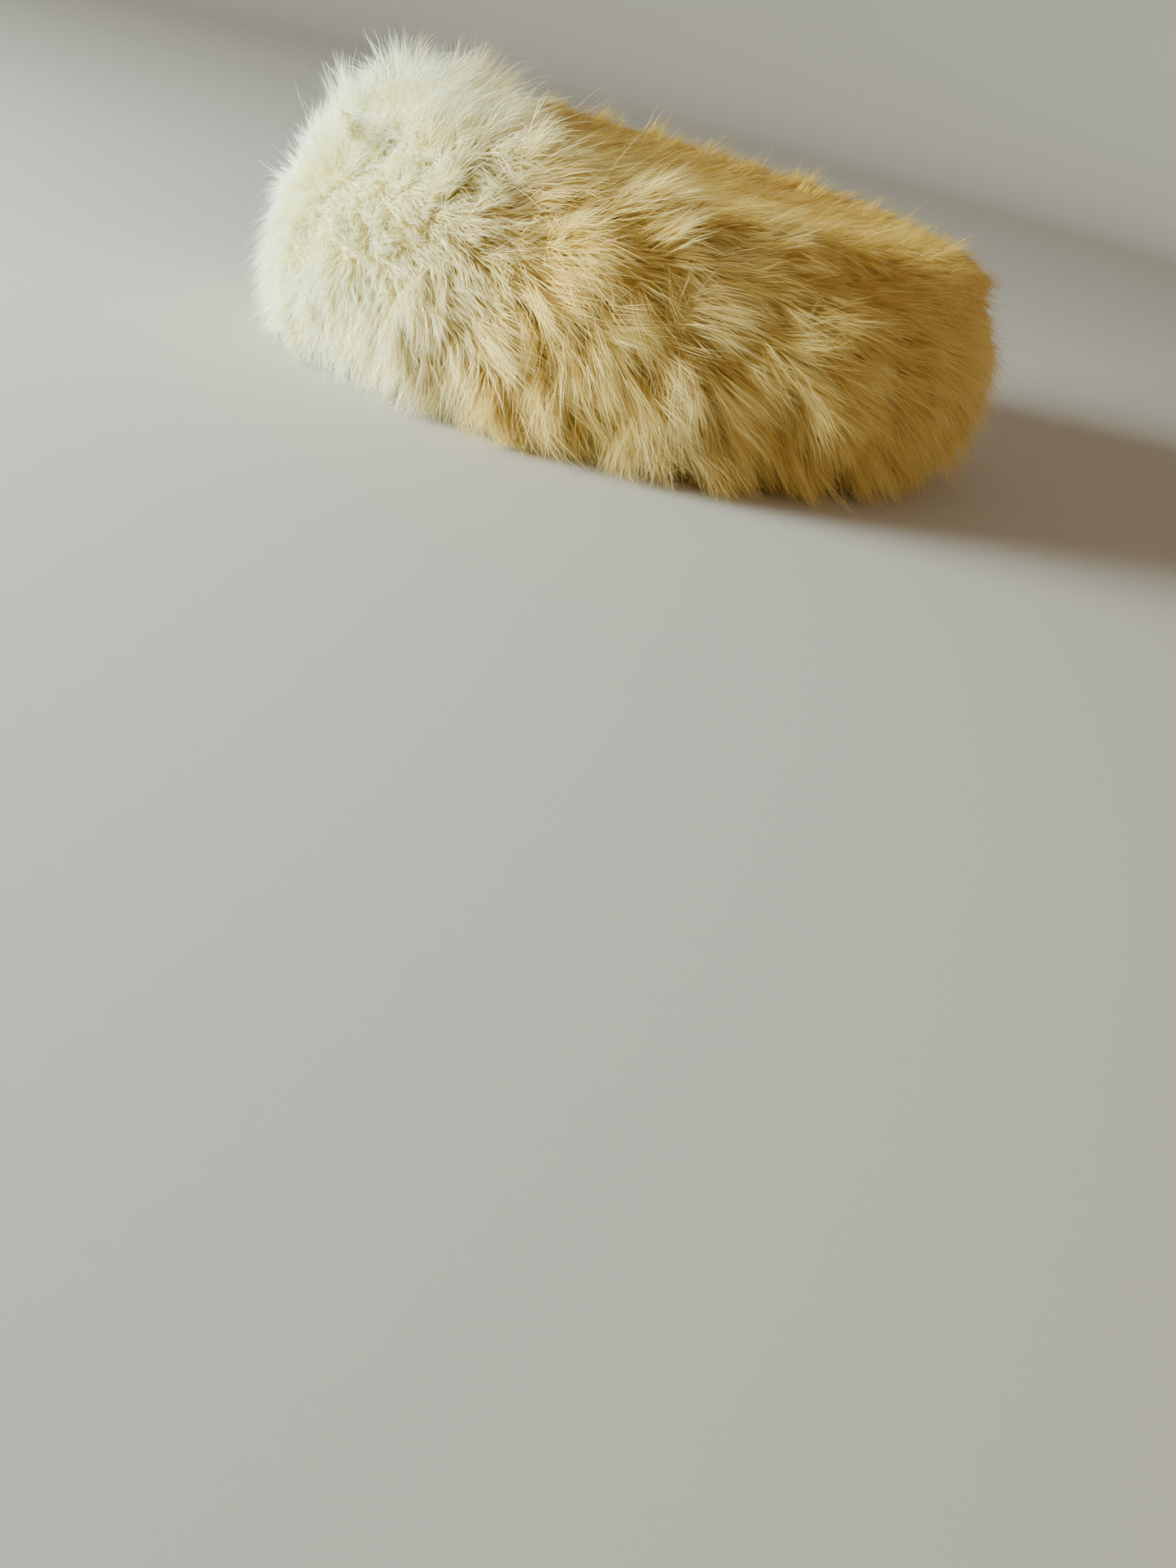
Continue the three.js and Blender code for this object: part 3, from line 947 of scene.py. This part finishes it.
def skin_piece(name, node):
    """The wall of one skin: its triangles paired into broad faces, then softened."""
    piece = merged_copy(name, node)
    broad = bmesh.new()
    broad.from_mesh(piece.data)
    limits = {"angle_face_threshold": FACE_ANGLE, "angle_shape_threshold": FACE_SHAPE}
    bmesh.ops.join_triangles(broad, faces=broad.faces, **limits)
    broad.to_mesh(piece.data)
    broad.free()
    soften = piece.modifiers.new("soften", "SUBSURF")
    soften.levels = soften.render_levels = SKIN_LEVELS
    apply_modifiers(piece)
    piece.data.polygons.foreach_set("use_smooth", [True] * len(piece.data.polygons))
    piece.data.materials.append(skin_look)
    print(name, triangle_count(piece.data), "triangles")
    return piece


skins = {node: skin_piece(f"{node}_skin", node) for node in ("side_band", "crown_tip")}

# %% [markdown]
# ## Floor and light
#
# A pale floor that rises far away keeps the background plain from every side. A box would show
# its corners, so the floor is a shallow bowl. Cool light comes from the front of the hat, and a
# warm, weaker light fills the shade at its back.

# %% Floor
FLAT_RADIUS = 1.0
FLOOR_RADIUS = 2.3
WALL_RISE = 1.5
RINGS = 48
SIDES = 96
RING_GROWTH = 1.6
PAPER = (0.55, 0.5, 0.45, 1)


def floor_mesh():
    """A shallow bowl: flat under the hat, with a soft rise far away."""
    distances = np.linspace(0, 1, RINGS) ** RING_GROWTH * FLOOR_RADIUS
    heights = np.clip(distances - FLAT_RADIUS, 0, None) ** 2 * WALL_RISE
    points = [(0, 0, 0)]
    for distance, height in zip(distances[1:], heights[1:]):
        for side in range(SIDES):
            way = side / SIDES * math.tau
            points.append((math.cos(way) * distance, math.sin(way) * distance, height))
    faces = [(0, 1 + side, 1 + (side + 1) % SIDES) for side in range(SIDES)]
    for ring in range(RINGS - 2):
        inner = 1 + ring * SIDES
        outer = inner + SIDES
        for side in range(SIDES):
            after = (side + 1) % SIDES
            faces.append((inner + side, outer + side, outer + after, inner + after))
    mesh = bpy.data.meshes.new("floor")
    mesh.from_pydata(points, [], faces)
    mesh.polygons.foreach_set("use_smooth", [True] * len(faces))
    return mesh


floor = bpy.data.objects.new("floor", floor_mesh())
bpy.context.scene.collection.objects.link(floor)
floor_look, floor_nodes = material("pale_floor")
paper = floor_nodes.add("ShaderNodeBsdfPrincipled", {}, {"Base Color": PAPER, "Roughness": 0.9})
floor_nodes.add("ShaderNodeOutputMaterial", {}, {"Surface": paper.out("BSDF")})
floor.data.materials.append(floor_look)
print("floor:", len(floor.data.polygons), "faces")

# %% Light
SPREAD = math.radians(140)
# place, diameter and power, then the colour
LIGHTS = {
    "daylight": ((0.06, -1.1, 0.21), 0.6, 43, (0.81, 1.0, 0.98)),
    "warm_fill": ((1.0, 0.7, 0.45), 0.9, 1.5, (1.0, 0.66, 0.28)),
}
AIR_COLOUR = (0.95, 0.8, 0.62, 1)
AIR_STRENGTH = 0.36

for name, (place, size, power, colour) in LIGHTS.items():
    light = bpy.data.lights.new(name, "AREA")
    light.shape = "DISK"
    light.size = size
    light.energy = power
    light.color = colour
    light.spread = SPREAD
    lamp = bpy.data.objects.new(name, light)
    lamp.location = place
    lamp.rotation_euler = (Vector(place) - target).to_track_quat("Z", "Y").to_euler()
    bpy.context.scene.collection.objects.link(lamp)
world = bpy.data.worlds.new("studio")
bpy.context.scene.world = world
world.use_nodes = True
air = world.node_tree.nodes["Background"].inputs
air["Color"].default_value = AIR_COLOUR
air["Strength"].default_value = AIR_STRENGTH
print("lights:", ", ".join(LIGHTS))

# %% [markdown]
# ## Hand over
#
# Every piece rides on the hat's one body, and the model's solids that it stands in for are hidden.


# %% Hand over
def hand_over(piece, slot, *nodes):
    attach(piece, "root")
    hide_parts(*nodes)


hand_over(bed, "fur", "band_fur", "crown_fur")
for node, piece in skins.items():
    hand_over(piece, "skin", node)
for piece in hair_pieces:
    hand_over(piece, "fur", "crown_fur" if piece.name.startswith("crown") else "band_fur")

print("pieces:", 1 + len(skins) + len(hair_pieces))
